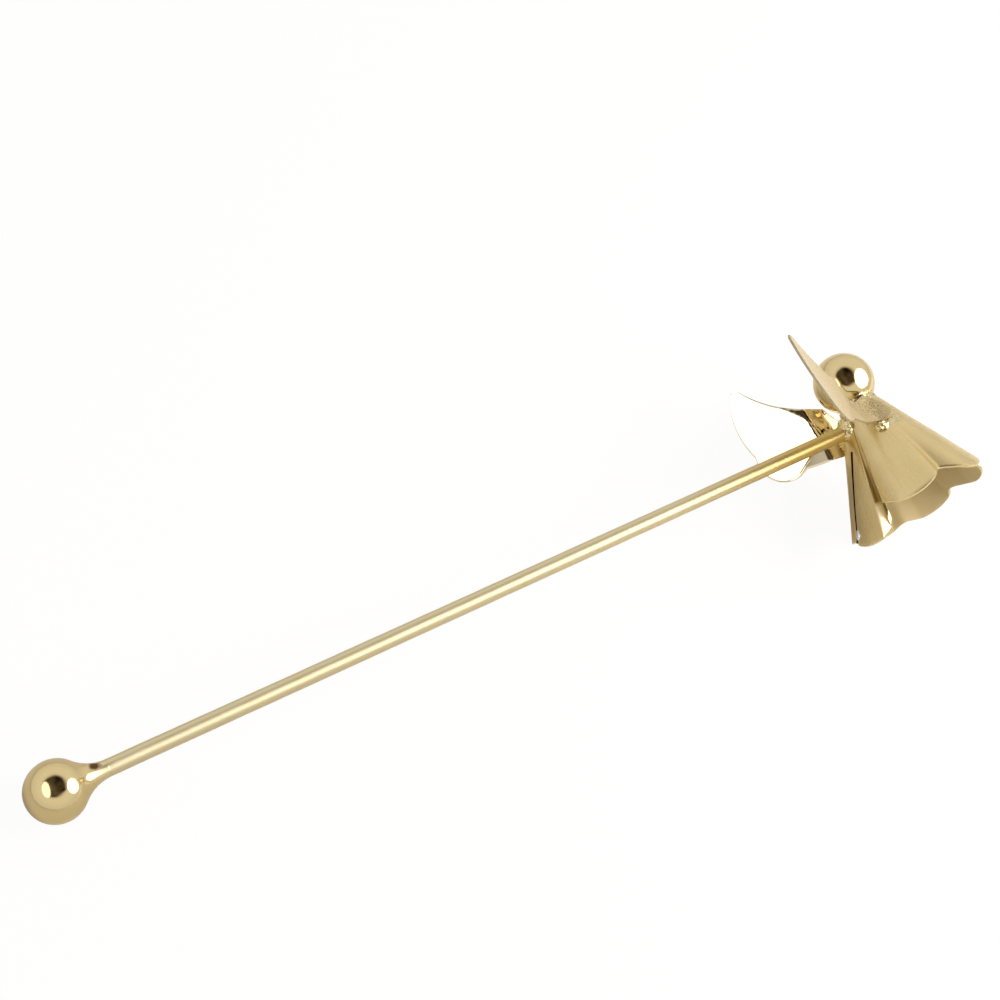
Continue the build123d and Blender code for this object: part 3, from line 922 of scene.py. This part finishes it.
def floor():
    """Pale table, shown white to the camera with a trace of the shadow."""
    half_width = 0.7
    white_share = 0.9
    bm = bmesh.new()
    bmesh.ops.create_grid(bm, x_segments=1, y_segments=1, size=half_width)
    mesh = bpy.data.meshes.new("floor")
    bm.to_mesh(mesh)
    bm.free()
    table = bpy.data.objects.new("floor", mesh)
    bpy.context.scene.collection.objects.link(table)
    material = bpy.data.materials.new("white_table")
    material.use_nodes = True
    tree = material.node_tree
    tree.nodes.clear()
    seen = add(tree, "ShaderNodeLightPath").outputs["Is Camera Ray"]
    share = add(tree, "ShaderNodeMath", {0: seen, 1: white_share}, operation="MULTIPLY")
    diffuse = add(tree, "ShaderNodeBsdfDiffuse", {"Color": srgb("#D3CFC7")})
    white = add(tree, "ShaderNodeEmission", {"Color": srgb("#FFFFFF"), "Strength": WHITE})
    mixed = add(tree, "ShaderNodeMixShader", {0: share.outputs[0], 1: diffuse.outputs[0], 2: white.outputs[0]})
    add(tree, "ShaderNodeOutputMaterial", {"Surface": mixed.outputs[0]})
    mesh.materials.append(material)


def room():
    """Pale room round the table, dimmer towards the horizon."""
    low = 0.72
    high = 0.83
    world = bpy.data.worlds.new("pale_room")
    bpy.context.scene.world = world
    world.use_nodes = True
    tree = world.node_tree
    toward = add(tree, "ShaderNodeTexCoord").outputs["Generated"]
    rise = add(tree, "ShaderNodeSeparateXYZ", {0: toward}).outputs["Z"]
    back = tree.nodes["Background"]
    back.inputs["Color"].default_value = srgb("#FFFDF8")
    lit = spread(tree, rise, low, high, 0.0, 0.45)
    seen = add(tree, "ShaderNodeLightPath").outputs["Is Camera Ray"]
    shown = add(tree, "ShaderNodeMix", {0: seen, 2: lit, 3: WHITE}).outputs[0]
    tree.links.new(shown, back.inputs["Strength"])


def shade():
    """Dark, uneven shade overhead, of which only the reflection shows."""
    middle = Vector((-0.29, -0.06, 0.73))
    radius = 0.72
    bm = bmesh.new()
    bmesh.ops.create_circle(bm, cap_ends=True, segments=64, radius=radius)
    bmesh.ops.translate(bm, verts=bm.verts, vec=middle)
    mesh = bpy.data.meshes.new("shade")
    bm.to_mesh(mesh)
    bm.free()
    screen = bpy.data.objects.new("shade", mesh)
    bpy.context.scene.collection.objects.link(screen)
    material = bpy.data.materials.new("dark_cloth")
    material.use_nodes = True
    tree = material.node_tree
    tree.nodes.clear()
    spot = add(tree, "ShaderNodeTexCoord").outputs["Object"]
    folds = cloud(tree, spot, 420, 1.0)
    tone = blend(tree, spread(tree, folds, 0, 1, 0.35, 0.75), srgb("#1C140C"), srgb("#7A6C58"))
    far = add(tree, "ShaderNodeVectorMath", {0: spot, 1: middle}, operation="DISTANCE").outputs["Value"]
    uneven = spread(tree, folds, -0.05, 0.05)
    ragged = add(tree, "ShaderNodeMath", {0: far, 1: uneven}, operation="ADD").outputs[0]
    edge = spread(tree, ragged, 0, 1, 0.7 * radius, 0.92 * radius)
    shown = blend(tree, edge, tone, srgb("#F0EDE6"))
    cloth = add(tree, "ShaderNodeEmission", {"Color": shown, "Strength": 0.8})
    add(tree, "ShaderNodeOutputMaterial", {"Surface": cloth.outputs[0]})
    mesh.materials.append(material)


def softbox(name, place, aim, width, height, radiance, roll=0.0):
    """Elliptical softbox of a given radiance that faces a point."""
    data = bpy.data.lights.new(name, "AREA")
    data.shape = "ELLIPSE"
    data.size = width
    data.size_y = height
    data.energy = radiance * math.pi * math.pi * width * height / 4
    lamp = bpy.data.objects.new(name, data)
    lamp.location = place
    lamp.rotation_mode = "QUATERNION"
    level = (Vector(aim) - Vector(place)).to_track_quat("-Z", "Y")
    lamp.rotation_quaternion = level @ Quaternion((0, 0, 1), math.radians(roll))
    bpy.context.scene.collection.objects.link(lamp)


buffed = polished_brass()
drawn = drawn_brass()
brazing = brazing_brass()
matte = matte_brass()
mirror = mirror_brass()
skirt((satin_brass(), inner_brass(), cut_edge_brass()))
seam_tack(tin_solder())
head(buffed)
neck_ring(brazing)
rod(drawn)
rod_root(brazing)
end_ball((buffed, drawn))
wing(
    "wing_near", "wing_right", RIGHT_WING_LEAN, NEAR_REACH, NEAR_WAIST, NEAR_SHOULDER,
    steep=FOLD_SLOPE, mirrored=False, materials=(matte, mirror, matte),
)
wing(
    "wing_far", "wing_left", 0.0, WING_REACH, FAR_WAIST, FAR_SHOULDER,
    steep=FAR_FOLD_SLOPE, mirrored=True, materials=(matte, mirror, rim_brass()),
)
bead("bead_near", "wing_solder_right", 1, brazing)
bead("bead_far", "wing_solder_left", -1, brazing)

photo_camera()
floor()
room()
shade()
softbox(
    "key_softbox", place=(0.30, -0.155, 0.28), aim=(0.0, 0.0, 0.0),
    width=0.42, height=0.40, radiance=4.5,
)
softbox(
    "side_softbox", place=(-0.275, 0.005, 0.234), aim=(0.05, 0.0, 0.0),
    width=0.28, height=0.14, radiance=1.7, roll=-12.0,
)

bpy.context.scene.view_settings.view_transform = "Standard"
